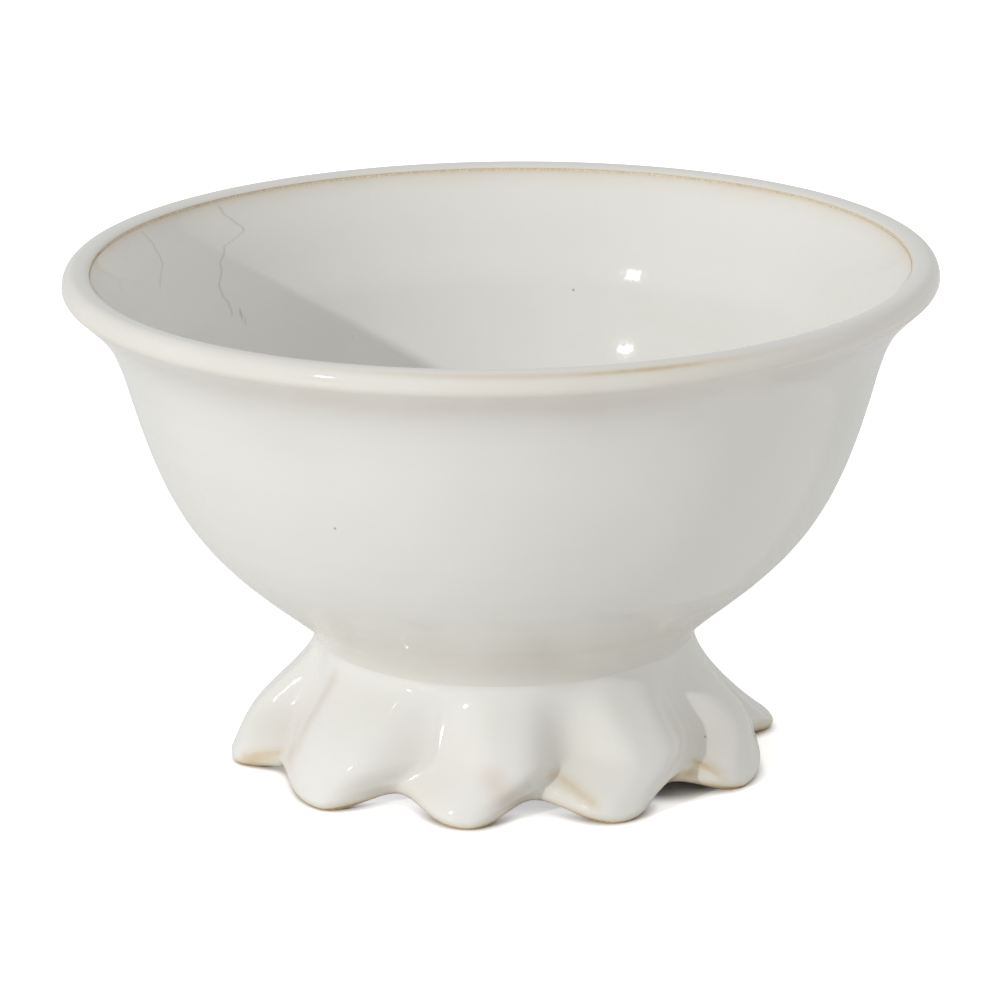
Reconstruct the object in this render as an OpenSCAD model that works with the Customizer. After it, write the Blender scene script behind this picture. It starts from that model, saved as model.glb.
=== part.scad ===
// Footed compote bowl in white-glazed stoneware.
// A thrown bowl with a rolled rim stands on a separately made foot, whose skirt is pressed into lobes.
// The two are joined with clay slip, and a thick white glaze covers them.
// Millimetres, +Z up. The origin is on the table, under the centre of the rim. The front is -Y.

/* [Overall] */
// Diameter over the rolled rim, glaze included
rim_d = 200; // [185:1:230]
// Height from the table to the top of the rim
height = 116.6; // [105:0.2:140]

/* [Bowl] */
// Outside diameter where the upright wall turns outward to the rim
throat_d = 172; // [150:1:180]
// Height from that turn up to the top of the rim
throat_drop = 27; // [20:0.5:34]
// Lean of the wall from upright at that turn, in degrees
wall_lean = 15; // [8:1:22]
// Thickness of the wall, glaze included
wall = 5; // [3.5:0.1:7]
// Thickness of the floor above the neck, glaze included
floor_t = 6.6; // [4:0.1:10]
// Diameter of the flat middle of the floor
floor_d = 56; // [20:1:66]

/* [Rim] */
// Width of the rolled rim, from its outermost edge in to the lip
roll_w = 6.4; // [5:0.1:8]
// Height of the roll, from its underside to its top
roll_h = 6.1; // [5:0.1:8]
// How far the roll's top lies inside its outermost edge
crown_in = 3; // [2:0.1:4]
// How far the inner lip lies below the roll's top
lip_drop = 1.2; // [0.6:0.1:2]
// Width of the clay line that shows where the glaze breaks over the lip
bare_line = 0.8; // [0.4:0.1:1.6]

/* [Foot] */
// Height of the neck above the table
neck_h = 29.8; // [24:0.2:36]
// Diameter of the neck, glaze included
neck_d = 86.8; // [76:0.2:96]
// Number of lobes round the skirt
lobes = 10; // [7:1:13]
// Diameter over an average pair of lobes
foot_d = 128; // [120:1:144]
// Diameter over the folds between the lobes
fold_d = 109; // [102:1:114]
// Height of the hem above the table in an average fold
arch_h = 2.2; // [1:0.1:5]
// Height of a lobe's widest point above the table
toe_h = 2; // [1:0.1:2.2]
// Thickness of the skirt, glaze included
skirt_t = 5.2; // [4:0.1:6.5]
// Depth of the rounded hem under the lobes
hem_round = 2.8; // [2.5:0.1:3.5]
// Depth of the rounded hem in the folds
fold_round = 3.6; // [2.4:0.1:5]
// Direction of the front lobe, in degrees to the right of the front
front_lobe = -8.9; // [-30:0.1:30]
// How far the most slanted fold is swept round the foot above its hem, in degrees
sweep = 13; // [-8:0.5:14]
// Height above the table at which the sweep begins
sweep_h = 3; // [2.9:0.1:5]
// Height over which the sweep grows to its full size
sweep_rise = 10; // [6:0.5:14]

/* [Glaze and joint] */
// Thickness of the glaze
glaze = 0.6; // [0.3:0.05:1]
// Thickness of the slip between the bowl and the foot
slip_t = 1; // [0.5:0.1:2]
// Width of the seat that the slip covers
seat_w = 5; // [3:0.1:7]

/* [Hidden] */

clay_colour = "#cdb48b";
slip_colour = "#bfa57c";
glaze_colour = "#f1f0ec";

// How far each lobe and each fold stands off its even place, as shares of the step between two lobes.
// The lists run to the right from the front lobe, and from the fold on its right.
lobe_drift_shares = [0, -0.08, -0.17, -0.14, -0.11, -0.06, 0, 0.02, 0.11, 0.06];
fold_drift_shares = [-0.07, -0.1, 0.08, -0.14, -0.09, -0.03, 0.02, -0.02, -0.08, -0.06];
// How far each lobe and each fold reaches out, as shares of the way from the fold's to the lobe's diameter
lobe_reach_shares = [0.73, 0.92, 1.14, 0.93, 0.95, 0.95, 1, 1, 1.17, 0.97];
fold_reach_shares = [-0.22, 0.3, 0.37, 0.05, 0, -0.1, 0.05, 0.14, 0.37, -0.21];
// Height of the hem in each fold, as shares of the average
fold_rise_shares = [1.36, 1.55, 0.6, 1, 1, 1.1, 0.9, 0.95, 0.46, 1.2];
// How full each lobe is, from slim (0) to bell-shaped (1)
fullness_shares = [0.8, 0.8, 1, 0, 0, 0.6, 0.5, 0, 1, 1];
// How far each lobe and each fold is swept round, as shares of the greatest sweep
lobe_sweep_shares = [0.69, 0.77, 0.69, 0.23, 0, 0, 0, 0, -0.46, 0.23];
fold_sweep_shares = [0.77, 1, 0.46, 0, 0, 0, 0, 0, -0.69, 0.77];
// How far each fold is filled out above the hem, from a full crease (0) to the form of its lobe (1)
fold_fill_shares = [0, -0.15, 0, 0, 0, 0, 0, 0, 0, 0.3];

// Pull of each curve, as shares of the width and the height between its ends
belly_low_shares = [0.6, 0.33];
belly_high_share = 0.57;
flare_low_share = 0.58;
flare_high_shares = [0.46, 0.7];
roll_under_shares = [[0.45, 0.3], [1, 0.5]];
inner_flare_shares = [[0.17, 0.17], [0.84, 0.54]];
inner_belly_shares = [[0.104, 0.664], [0.585, 1]];
full_lobe_shares = [[0.1, 0.3], [0.78, 0.4]];
slim_lobe_shares = [[0.02, 0.34], [0.42, 0.7]];
fold_shares = [[0.02, 0.3], [0.4, 0.74]];
// The same for the inside of the skirt, which keeps its thickness even
under_full_shares = [[0.47, 0.535], [0.87, 0.55]];
under_slim_shares = [[0.24, 0.4], [0.47, 0.86]];
under_fold_shares = [[0.42, 0.6], [0.71, 1.03]];
// Heights and widths inside the rim's roll, as shares of its size
roll_edge_share = 0.6;
roll_under_share = 0.55;
// Share of the glaze's thickness that is left at an edge where it breaks or ends
thin_share = 0.2;
// Share of the inner flare over which the glaze comes back to its full thickness
thick_again_share = 0.2;
// Powers that shape the lobes: breadth in plan at the hem and above it, rise of the hem, and thinning of
// the glaze toward the hem
breadth_power = 1.14;
crease_power = 2;
rise_power = 0.88;
thin_power = 4;

// Angle of the roll's inner arc that stays bare at the lip
bare_arc = 30;
// Angle round the hem at which the glaze ends, under the lobes and in the folds
lobe_glaze_end = 30;
fold_glaze_end = 75;
// Facet counts
steps = 14;
facets_per_flank = 6;
skirt_steps = 6;
bare_steps = 6;
columns = lobes * facets_per_flank * 2;
fine = 180;

rim_r = rim_d / 2;
throat_r = throat_d / 2;
throat_z = height - throat_drop;
neck_r = neck_d / 2;
floor_z = neck_h + floor_t;
lip_r = rim_r - roll_w;
lip_z = height - lip_drop;
crown_r = rim_r - crown_in;
edge_z = height - roll_h * roll_edge_share;
seat_r = neck_r - glaze;
seat_z = neck_h - slip_t;
seat_in_r = seat_r - seat_w;
tip_r = foot_d / 2;
fold_r = fold_d / 2;

// Plain helpers: a blend of two values, a place inside the box between two points, and a turned point
function mix(a, b, s) = a + (b - a) * s;
function inside(a, b, shares) = [mix(a[0], b[0], shares[0]), mix(a[1], b[1], shares[1])];
function turned(p, angle) = [p[0] * sin(angle), -p[0] * cos(angle), p[1]];
function reversed(list) = [for (i = [len(list) - 1 : -1 : 0]) list[i]];
function unit(v) = v / norm(v);

// A cubic curve p of four points: the point at share t, and the normal on the right of its direction
function curve(p, t) =
    p[0] * pow(1 - t, 3) + p[1] * 3 * pow(1 - t, 2) * t + p[2] * 3 * (1 - t) * t * t + p[3] * pow(t, 3);
function heading(p, t) =
    (p[1] - p[0]) * pow(1 - t, 2) + (p[2] - p[1]) * 2 * (1 - t) * t + (p[3] - p[2]) * t * t;
function right_of(v) = unit([v[1], -v[0]]);

// A station is a point of the finished surface, its outward normal, and the share of glaze under it
function stations(p, first, last) =
    [for (i = [first : last]) [curve(p, i / last), right_of(heading(p, i / last)), 1]];
function arc_station(centre, size, angle, share) = [
    centre + [size[0] * cos(angle), size[1] * sin(angle)],
    unit([cos(angle) / size[0], sin(angle) / size[1]]),
    share
];
function finished(list) = [for (s = list) s[0]];
function clay(list) = [for (s = list) s[0] - s[1] * glaze * s[2]];

// Outside of the bowl, from the neck up to the outermost edge of the rim
neck = [neck_r, neck_h];
throat = [throat_r, throat_z];
roll_under = [rim_r - crown_in * roll_under_share, height - roll_h];
edge = [rim_r, edge_z];
lean = [tan(wall_lean), 1];
belly_curve = [
    neck,
    inside(neck, throat, belly_low_shares),
    throat - lean * belly_high_share * (throat_z - neck_h),
    throat
];
flare_curve = [
    throat,
    throat + lean * flare_low_share * (roll_under[1] - throat_z),
    inside(throat, roll_under, flare_high_shares),
    roll_under
];
under_curve = [
    roll_under,
    inside(roll_under, edge, roll_under_shares[0]),
    inside(roll_under, edge, roll_under_shares[1]),
    edge
];
crown_centre = [crown_r, edge_z];
crown_size = [crown_in, height - edge_z];
lip_centre = [crown_r, lip_z];
lip_size = [crown_r - lip_r, lip_drop];
crown_arc = [for (i = [1 : steps]) arc_station(crown_centre, crown_size, 90 * i / steps, 1)];
lip_arc = [
    for (i = [1 : steps])
        let (turn = (90 - bare_arc) * i / steps)
            arc_station(lip_centre, lip_size, 90 + turn, mix(1, thin_share, turn / 90))
];
bare_stations = [
    for (angle = [180 - bare_arc / 2, 180])
        arc_station(lip_centre, lip_size, angle, thin_share)
];
outer_stations = concat(
    stations(belly_curve, 0, steps * 2),
    stations(flare_curve, 1, steps),
    stations(under_curve, 1, steps / 2),
    crown_arc,
    lip_arc
);

// Inside of the bowl, from the lip down to the middle of the floor
lip = [lip_r, lip_z];
inner_throat = [throat_r - wall, throat_z];
floor_edge = [floor_d / 2, floor_z];
inner_flare = [
    lip,
    inside(lip, inner_throat, inner_flare_shares[0]),
    inside(lip, inner_throat, inner_flare_shares[1]),
    inner_throat
];
inner_belly = [
    inner_throat,
    inside(inner_throat, floor_edge, inner_belly_shares[0]),
    inside(inner_throat, floor_edge, inner_belly_shares[1]),
    floor_edge
];
// The first share is where the line of bare clay ends
bare_share = bare_line / (norm(inner_flare[1] - inner_flare[0]) * 3);
inner_stations = concat(
    [
        for (i = [0 : steps])
            let (t = mix(bare_share, 1, i / steps))
                [
                    curve(inner_flare, t),
                    right_of(heading(inner_flare, t)),
                    mix(thin_share, 1, min(1, t / thick_again_share))
                ]
    ],
    stations(inner_belly, 1, steps * 2),
    [[[0, floor_z], [0, 1], 1]]
);

// Lobes and folds stand in turn round the skirt, two of them a step, with columns of facets between.
// A column lies between one lobe and one fold. Its blend goes from the fold (0) to the lobe (1).
function share_of(list, i) = list[(i % lobes) % len(list)];
function lobe_or_fold_angle(k) =
    let (drift = share_of(k % 2 == 0 ? lobe_drift_shares : fold_drift_shares, floor(k / 2)))
        front_lobe + (k / 2 + drift) * 360 / lobes;
function side(c) = floor(c / facets_per_flank);
function way(c) = c / facets_per_flank - side(c);
function its_lobe(c) = floor((side(c) + 1) / 2);
function its_fold(c) = floor(side(c) / 2);
function column_angle(c) = mix(lobe_or_fold_angle(side(c)), lobe_or_fold_angle(side(c) + 1), way(c));
// The folds lean: a column turns with its height, from nothing at the hem to its full sweep
function lobe_or_fold_sweep(k) =
    sweep * share_of(k % 2 == 0 ? lobe_sweep_shares : fold_sweep_shares, floor(k / 2));
function column_sweep(c) = mix(lobe_or_fold_sweep(side(c)), lobe_or_fold_sweep(side(c) + 1), way(c));
function eased(s) = s * s * (3 - 2 * s);
function angle_at(c, z) =
    column_angle(c) + column_sweep(c) * eased(max(0, min(1, (z - sweep_h) / sweep_rise)));
function blend(c) = (1 + (side(c) % 2 == 0 ? 1 : -1) * cos(180 * way(c))) / 2;
function breadth(c) = 1 - pow(1 - blend(c), breadth_power);
function rise(c) = 1 - pow(1 - blend(c), rise_power);
function crease(c) = 1 - (1 - share_of(fold_fill_shares, its_fold(c))) * pow(1 - blend(c), crease_power);
// The slip stays inside the flat facets of the glaze round it, whose widest spans this angle
widest_facet = max([for (c = [0 : columns - 1]) angle_at(c + 1, neck_h) - angle_at(c, neck_h)]);
facet_sag = seat_r * (1 - cos(widest_facet / 2));

// Outer curve of the skirt in one column, from the neck down to the widest point of the hem
function skirt_toe(c) =
    let (
        fold_out = share_of(fold_reach_shares, its_fold(c)),
        lobe_out = share_of(lobe_reach_shares, its_lobe(c)),
        arch_z = arch_h * share_of(fold_rise_shares, its_fold(c))
    )
        [
            mix(fold_r, tip_r, mix(fold_out, lobe_out, breadth(c))),
            mix(arch_z + fold_round, toe_h, rise(c))
        ];
function column_shares(c, i, fold, slim, full) =
    let (fullness = share_of(fullness_shares, its_lobe(c)))
        fold[i] + (slim[i] + (full[i] - slim[i]) * fullness - fold[i]) * crease(c);
function outer_shares(c, i) = column_shares(c, i, fold_shares, slim_lobe_shares, full_lobe_shares);
function under_shares(c, i) = column_shares(c, i, under_fold_shares, under_slim_shares, under_full_shares);
function skirt_curve(c) =
    let (toe = skirt_toe(c))
        [neck, inside(neck, toe, outer_shares(c, 0)), inside(neck, toe, outer_shares(c, 1)), toe];
function inner_curve(c) =
    let (toe = skirt_toe(c) - [skirt_t, 0], top = [seat_in_r - glaze, seat_z])
        [
            toe,
            inside(toe, top, [1, 1] - under_shares(c, 1)),
            inside(toe, top, [1, 1] - under_shares(c, 0)),
            top
        ];
// Half round of the hem, cut flat where it stands on the table
function hem_point(c, angle, drawn_in) =
    let (toe = skirt_toe(c), half = skirt_t / 2, depth = mix(fold_round, hem_round, rise(c)))
        [
            toe[0] - half + (half - drawn_in) * cos(angle),
            max(0, toe[1] - (depth - drawn_in) * sin(angle))
        ];
function glaze_end(c) = mix(fold_glaze_end, lobe_glaze_end, rise(c));

// Sections of one column, drawn in from the finished surface by d: outside from neck to hem, inside back up
function outside_section(c, d) = [
    for (i = [1 : skirt_steps])
        let (t = i / skirt_steps, p = skirt_curve(c))
            curve(p, t) + right_of(heading(p, t)) * d * mix(1, thin_share, pow(t, thin_power))
];
function inside_section(c, d) = [
    for (i = [0 : skirt_steps - 1])
        let (t = i / skirt_steps, p = inner_curve(c))
            curve(p, t) + right_of(heading(p, t)) * d * mix(thin_share, 1, pow(t, 1 / thin_power))
];
function glazed_hem(c, d) = [for (share = [0.5, 1]) hem_point(c, glaze_end(c) * share, d * thin_share)];
function bare_hem(c) =
    [for (i = [1 : bare_steps - 1]) hem_point(c, mix(glaze_end(c), 180, i / bare_steps), glaze * thin_share)];

// A closed skin from one section of [radius, height] points a column. Each section is a loop or, where the
// heights of its two ends are given, runs out from the axis and back to it.
// Each four-sided patch is split along its shorter diagonal, so two skins that share a face match.
module skin(sections, end_heights = []) {
    n = len(sections);
    m = len(sections[0]);
    open = len(end_heights) > 0;
    points = concat(
        [for (c = [0 : n - 1]) for (p = sections[c]) turned(p, angle_at(c, p[1]))],
        [for (z = end_heights) [0, 0, z]]
    );
    patches = [
        for (c = [0 : n - 1]) for (j = [0 : open ? m - 2 : m - 1])
            let (a = c * m + j, b = c * m + (j + 1) % m, d = ((c + 1) % n) * m + j)
                let (e = ((c + 1) % n) * m + (j + 1) % m)
                    each norm(points[a] - points[e]) < norm(points[b] - points[d])
                        ? [[a, d, e], [a, e, b]]
                        : [[a, d, b], [b, d, e]]
    ];
    fans = [
        for (c = [0 : open ? n - 1 : -1])
            let (next = (c + 1) % n)
                each [[n * m, next * m, c * m], [c * m + m - 1, next * m + m - 1, n * m + 1]]
    ];
    polyhedron(points = points, faces = concat(patches, fans), convexity = 6);
}

module bowl() {
    color(clay_colour)
        rotate_extrude($fn = fine)
            polygon(concat(
                [[0, neck_h], [seat_r, neck_h]],
                clay(outer_stations),
                clay(bare_stations),
                clay(inner_stations)
            ));
}

module slip_joint() {
    color(slip_colour)
        translate([0, 0, seat_z])
            rotate_extrude($fn = fine)
                translate([seat_in_r, 0])
                    square([seat_w - facet_sag, slip_t]);
}

module inner_glaze() {
    color(glaze_colour)
        rotate_extrude($fn = fine)
            polygon(concat(finished(inner_stations), reversed(clay(inner_stations))));
}

module outer_glaze() {
    color(glaze_colour)
        rotate_extrude($fn = fine)
            polygon(concat(finished(outer_stations), reversed(clay(outer_stations)), [[seat_r, neck_h]]));
}

module foot() {
    color(clay_colour)
        skin([
            for (c = [0 : columns - 1])
                concat(
                    [[seat_r, seat_z]],
                    outside_section(c, glaze),
                    glazed_hem(c, glaze),
                    bare_hem(c),
                    inside_section(c, glaze),
                    [[seat_in_r, seat_z]]
                )
        ]);
}

module foot_glaze() {
    color(glaze_colour)
        skin([
            for (c = [0 : columns - 1])
                concat(
                    [neck],
                    outside_section(c, 0),
                    glazed_hem(c, 0),
                    reversed(glazed_hem(c, glaze)),
                    reversed(outside_section(c, glaze)),
                    [[seat_r, seat_z], [seat_r, neck_h]]
                )
        ]);
}

module under_glaze() {
    color(glaze_colour)
        skin([
            for (c = [0 : columns - 1])
                concat(
                    [[seat_in_r, neck_h], [seat_in_r, seat_z]],
                    reversed(inside_section(c, glaze)),
                    inside_section(c, 0),
                    [[seat_in_r - glaze, seat_z], [seat_in_r - glaze, neck_h - glaze]]
                )
        ], end_heights = [neck_h, neck_h - glaze]);
}

bowl();
foot();
slip_joint();
inner_glaze();
outer_glaze();
foot_glaze();
under_glaze();
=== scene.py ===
# %% [markdown]
# # A footed compote bowl in white-glazed stoneware
#
# The real bowl is two pieces of clay. A deep bowl with a rolled rim is thrown on the wheel, and a
# hollow foot is thrown apart from it, its skirt pressed into lobes with the fingers. Both are joined
# with slip and covered in a thick white glaze, which breaks to a tan line wherever an edge leaves it thin.
#
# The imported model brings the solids. This lesson replaces their plain skins with surfaces that are fine
# enough to carry the hand's marks, and gives glaze and clay their materials.

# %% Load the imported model
import math

import bpy
import numpy as np
from mathutils import Matrix, Vector


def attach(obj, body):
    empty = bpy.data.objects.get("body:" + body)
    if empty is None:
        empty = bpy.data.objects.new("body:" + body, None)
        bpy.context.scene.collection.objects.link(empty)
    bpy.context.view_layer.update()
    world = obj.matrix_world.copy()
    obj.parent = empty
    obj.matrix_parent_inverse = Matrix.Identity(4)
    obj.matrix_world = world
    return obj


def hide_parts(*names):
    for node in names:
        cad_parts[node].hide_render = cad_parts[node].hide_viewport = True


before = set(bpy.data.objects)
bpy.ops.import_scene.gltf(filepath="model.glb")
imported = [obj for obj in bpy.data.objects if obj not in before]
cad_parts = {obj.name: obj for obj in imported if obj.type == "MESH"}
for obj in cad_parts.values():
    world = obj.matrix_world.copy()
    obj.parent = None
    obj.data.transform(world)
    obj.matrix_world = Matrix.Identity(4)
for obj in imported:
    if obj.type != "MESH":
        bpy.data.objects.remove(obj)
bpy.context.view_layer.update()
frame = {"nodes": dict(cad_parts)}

print("nodes:", ", ".join(frame["nodes"]))

# %% [markdown]
# ## The sizes
#
# A potter would note the sizes of a bowl on one card. This is the card of this bowl, in millimetres. It has
# the values of the solids, but for the bare line at the lip and a few shares of the front lobes, which were
# trimmed to the photograph later. Measuring the solids instead would give facets, not curves. Points are
# [radius, height], angles run from the front to the right, and shares place the pull of a curve inside the
# box between its ends.

# %% Sizes of the bowl
RIM_R, HEIGHT = 100.0, 116.6
THROAT = np.array([86.0, 89.6])  # where the upright wall turns outward
WALL_LEAN = 15  # lean of the wall there, in degrees
NECK = np.array([43.4, 29.8])  # the crease between the bowl and its foot
WALL, FLOOR_Z, FLOOR_R = 5.0, 36.4, 28.0  # thickness of the wall, height and radius of the flat floor
# The roll: its top, its outer edge, its underside and the lip inside it
CROWN_R, EDGE_Z, LIP = 97.0, 112.94, np.array([93.6, 115.4])
ROLL_UNDER = np.array([98.35, 110.5])
# The coat's thickness, its share left at an edge, and the line at the lip that stays bare, in mm and degrees
GLAZE, THIN, BARE_LINE, BARE_ARC = 0.6, 0.2, 0.35, 14.0
SEAT_OUT, SEAT_IN, SEAT_Z = 42.8, 37.8, 28.8  # the seat that the slip covers
POOL, POOL_RUN = 2.0, 3.4  # glaze pooled in the neck: its depth, and the distance over which it runs out
TURN = 2 * math.pi
# Points along each curve
BELLY_ROWS, FLARE_ROWS, UNDER_ROWS, CROWN_ROWS, LIP_ROWS = 71, 41, 23, 33, 17
MOUTH_ROWS, BASIN_ROWS, FLOOR_ROWS = 71, 71, 12

# %% Sizes of the foot
LOBES, FRONT_LOBE = 10, -8.9  # how many, and the direction of the front one in degrees
FOLD_R, TIP_R = 54.5, 64.0  # reach of the even fold and of the even lobe
ARCH_H, TOE_H, SKIRT_T = 2.2, 2.0, 5.2  # rise of a fold's hem, height of a lobe's toe, thickness of the skirt
HEM_ROUND, FOLD_ROUND = 2.8, 3.6  # depth of the rounded hem under the lobes and in the folds
# How each lobe and each fold differs from the even one, counted to the right from the front lobe: its
# place, its reach, the rise of its hem, how full it is, how far it is swept round, how far it is filled
LOBE_DRIFT = np.array([0, -0.08, -0.17, -0.14, -0.11, -0.06, 0, 0.02, 0.11, 0.06])
FOLD_DRIFT = np.array([-0.07, -0.1, 0.08, -0.14, -0.09, -0.03, 0.02, -0.02, -0.08, -0.06])
LOBE_REACH = np.array([0.73, 0.92, 1.14, 0.93, 0.95, 0.95, 1, 1, 1.17, 0.97])
FOLD_REACH = np.array([-0.22, 0.3, 0.37, 0.05, 0, -0.1, 0.05, 0.14, 0.37, -0.21])
FOLD_RISE = np.array([1.36, 1.55, 0.6, 1, 1, 1.1, 0.9, 0.95, 0.46, 1.2])
FULLNESS = np.array([0.8, 0.8, 0.5, 0, 0, 0.6, 0.5, 0, 0.75, 0.95])
SWEEP, SWEEP_H, SWEEP_RISE = 13.0, 3.0, 10.0  # greatest sweep in degrees, where it begins, and its run
LOBE_SWEEP = np.array([0.69, 0.77, 1.1, 0.23, 0, 0, 0, 0, -0.46, 0.23])
FOLD_SWEEP = np.array([0.77, 1, 0.46, 0, 0, 0, 0, 0, -0.69, 0.77])
FOLD_FILL = np.array([0, -0.15, 0, 0, 0, 0, 0, 0, 0, 0.4])
# Pull of the curves of a fold, of a slim lobe and of a full lobe, outside and under the skirt
OUTER_PULL = np.array([[[0.02, 0.3], [0.4, 0.74]], [[0.02, 0.34], [0.42, 0.7]], [[0.1, 0.3], [0.78, 0.4]]])
UNDER_PULL = np.array(
    [[[0.42, 0.6], [0.71, 1.03]], [[0.24, 0.4], [0.47, 0.86]], [[0.47, 0.535], [0.87, 0.55]]]
)
# Powers that shape the lobes' breadth, the rise of the hem, the creases, and the thinning of the glaze
BREADTH_POWER, RISE_POWER, CREASE_POWER, THIN_POWER = 1.14, 0.88, 2, 4
print("rim", 2 * RIM_R, "mm across,", HEIGHT, "mm high, on", LOBES, "lobes")

# %% [markdown]
# ## Camera
#
# The camera stands where the photograph was taken from: 1 m from the bowl, 17 degrees above it, with a
# long lens. The ellipse of the rim gives the height of the eye, and how much its near side outgrows its
# far side gives the distance. A guess by eye could match one of the two, but not both. The frame leans by
# under a degree.

# %% Camera
def new_object(name, data):
    """An object that shows this data, linked to the scene."""
    thing = bpy.data.objects.new(name, data)
    bpy.context.scene.collection.objects.link(thing)
    return thing


FOCAL_PIXELS, FRAME_PIXELS, SENSOR = 4304, 1000, 36.0
camera_data = bpy.data.cameras.new("long_lens")
camera_data.sensor_width = SENSOR
camera_data.lens = FOCAL_PIXELS * SENSOR / FRAME_PIXELS
camera_data.clip_end = 20.0
camera = new_object("camera", camera_data)
aim = Vector((-0.84, 0, 58.29)) / 1000
eye_height, frame_lean = math.radians(17.33), math.radians(0.76)
place = aim + Vector((0, -math.cos(eye_height), math.sin(eye_height)))
turn = (aim - place).to_track_quat("-Z", "Y").to_matrix() @ Matrix.Rotation(-frame_lean, 3, "Z")
camera.matrix_world = Matrix.Translation(place) @ turn.to_4x4()
bpy.context.scene.camera = camera
print("camera", round((aim - place).length, 3), "m away, lens", round(camera_data.lens, 1), "mm")

# %% [markdown]
# ## Curves and grids
#
# A thrown form is a profile turned about an axis. Each profile here is a chain of cubic curves and quarter
# ellipses, worked out as [radius, height] points. A Screw modifier could turn a drawn curve too, but it
# can't vary with the direction, as the rings of the wheel and the lobes do. A glaze coat is the same
# profile twice: the finished surface, and the clay under it, drawn in by the coat's thickness.

# %% Curves of a profile
def bezier(points, t):
    """Cubic curve through t: (1-t)^3 p0 + 3(1-t)^2 t p1 + 3(1-t) t^2 p2 + t^3 p3."""
    t = np.asarray(t, float)[..., None]
    p0, p1, p2, p3 = (np.asarray(p, float) for p in points)
    return p0 * (1 - t) ** 3 + p1 * 3 * (1 - t) ** 2 * t + p2 * 3 * (1 - t) * t**2 + p3 * t**3


def inside(a, b, shares):
    """The point that lies at these shares of the way from a to b, in radius and in height."""
    return a + (b - a) * np.asarray(shares, float)


def quarter(centre, size, first, last, count):
    """Part of an ellipse: centre + size * [cos, sin] of an angle that runs from first to last, in degrees."""
    angle = np.radians(np.linspace(first, last, count))[:, None]
    return np.asarray(centre, float) + np.asarray(size, float) * np.hstack([np.cos(angle), np.sin(angle)])


def side_normal(profile):
    """Unit normal on the right of a profile's direction: the direction [dr, dz] becomes [dz, -dr]."""
    along = np.gradient(profile, axis=-2)
    normal = np.stack([along[..., 1], -along[..., 0]], -1)
    return normal / np.linalg.norm(normal, axis=-1, keepdims=True)


def run_length(profile):
    """Distance along a profile, in mm, from its first point to each of its points."""
    steps = np.linalg.norm(np.diff(profile, axis=0), axis=1)
    return np.concatenate([[0], np.cumsum(steps)])


print("a quarter round of 3 mm:", round(run_length(quarter([0, 0], [3, 3], 0, 90, 33))[-1], 2), "mm long")

# %% [markdown]
# ## From a grid to a mesh
#
# Rows of the grid follow the profile and columns go round the axis. Neighbours make quads, a last point on
# the axis closes an end, and the sign of the volume tells whether the faces point outward. Faces could be
# added one by one, but whole arrays are far quicker.

# %% Quads and fans of a grid
def lattice(rows, columns, closed):
    """Quads between neighbours of a grid that wraps round its columns, and round its rows if it is closed."""
    i = np.arange(rows if closed else rows - 1)[:, None]
    j = np.arange(columns)[None, :]
    i2, j2 = (i + 1) % rows, (j + 1) % columns
    corners = [i * columns + j, i * columns + j2, i2 * columns + j2, i2 * columns + j]
    return np.stack(corners, -1).reshape(-1, 4)


def close_ends(points, rows, columns, heights):
    """Adds two points on the axis, and triangles from one to the first row and from the other to the last."""
    j, after = np.arange(columns), (np.arange(columns) + 1) % columns
    start, end = np.full(columns, len(points)), np.full(columns, len(points) + 1)
    last = (rows - 1) * columns
    fans = np.vstack([np.stack([start, after, j], -1), np.stack([end, last + j, last + after], -1)])
    return np.vstack([points, [[0, 0, height] for height in heights]]), fans


def enclosed_volume(points, quads, fans):
    """Sum of a . (b x c) / 6 over all triangles: above zero where the faces point outward."""
    triangles = np.vstack([quads[:, [0, 1, 2]], quads[:, [0, 2, 3]], fans])
    a, b, c = (points[triangles[:, k]] for k in range(3))
    return np.einsum("ij,ij->i", a, np.cross(b, c)).sum() / 6


# %% Mesh of a grid
SHARP = math.radians(50)  # edges that turn by more stay crisp


def make_mesh(name, grid, marks, poles=None):
    """A mesh of grid[row, column] = (x, y, z) in mm: a ring, or closed by poles, two heights on the axis.

    marks holds named arrays of grid values, which become attributes that a material can read.
    """
    rows, columns = grid.shape[:2]
    quads = lattice(rows, columns, poles is None)
    points, fans = grid.reshape(-1, 3), np.zeros((0, 3), int)
    if poles:
        points, fans = close_ends(points, rows, columns, poles)
    volume = enclosed_volume(points, quads, fans)
    if volume < 0:
        quads, fans = quads[:, ::-1], fans[:, ::-1]
    mesh = bpy.data.meshes.new(name)
    mesh.vertices.add(len(points))
    mesh.vertices.foreach_set("co", (points / 1000).astype(np.float32).ravel())
    mesh.loops.add(quads.size + fans.size)
    mesh.loops.foreach_set("vertex_index", np.concatenate([quads.ravel(), fans.ravel()]).astype(np.int32))
    starts = np.concatenate([np.arange(len(quads)) * 4, quads.size + np.arange(len(fans)) * 3])
    mesh.polygons.add(len(starts))
    mesh.polygons.foreach_set("loop_start", starts.astype(np.int32))
    mesh.update(calc_edges=True)
    mesh.shade_smooth()
    mesh.set_sharp_from_angle(angle=SHARP)
    for key, values in marks.items():
        values = np.broadcast_to(values, (rows, columns)).ravel()
        values = np.concatenate([values, np.full(len(points) - len(values), values[-1])])
        mesh.attributes.new(key, "FLOAT", "POINT").data.foreach_set("value", values.astype(np.float32))
    print(name, len(points), "points,", round(abs(volume) / 1000, 2), "cm3")
    return mesh


def make_piece(name, mesh, material, slot, *nodes):
    """A piece at the origin that rides on the object's one body and stands for the named solids."""
    piece = new_object(name, mesh)
    mesh.materials.append(material)
    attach(piece, "root")
    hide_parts(*nodes)


print("a ring of 3 rows and 8 columns has", len(lattice(3, 8, False)), "quads")

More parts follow.
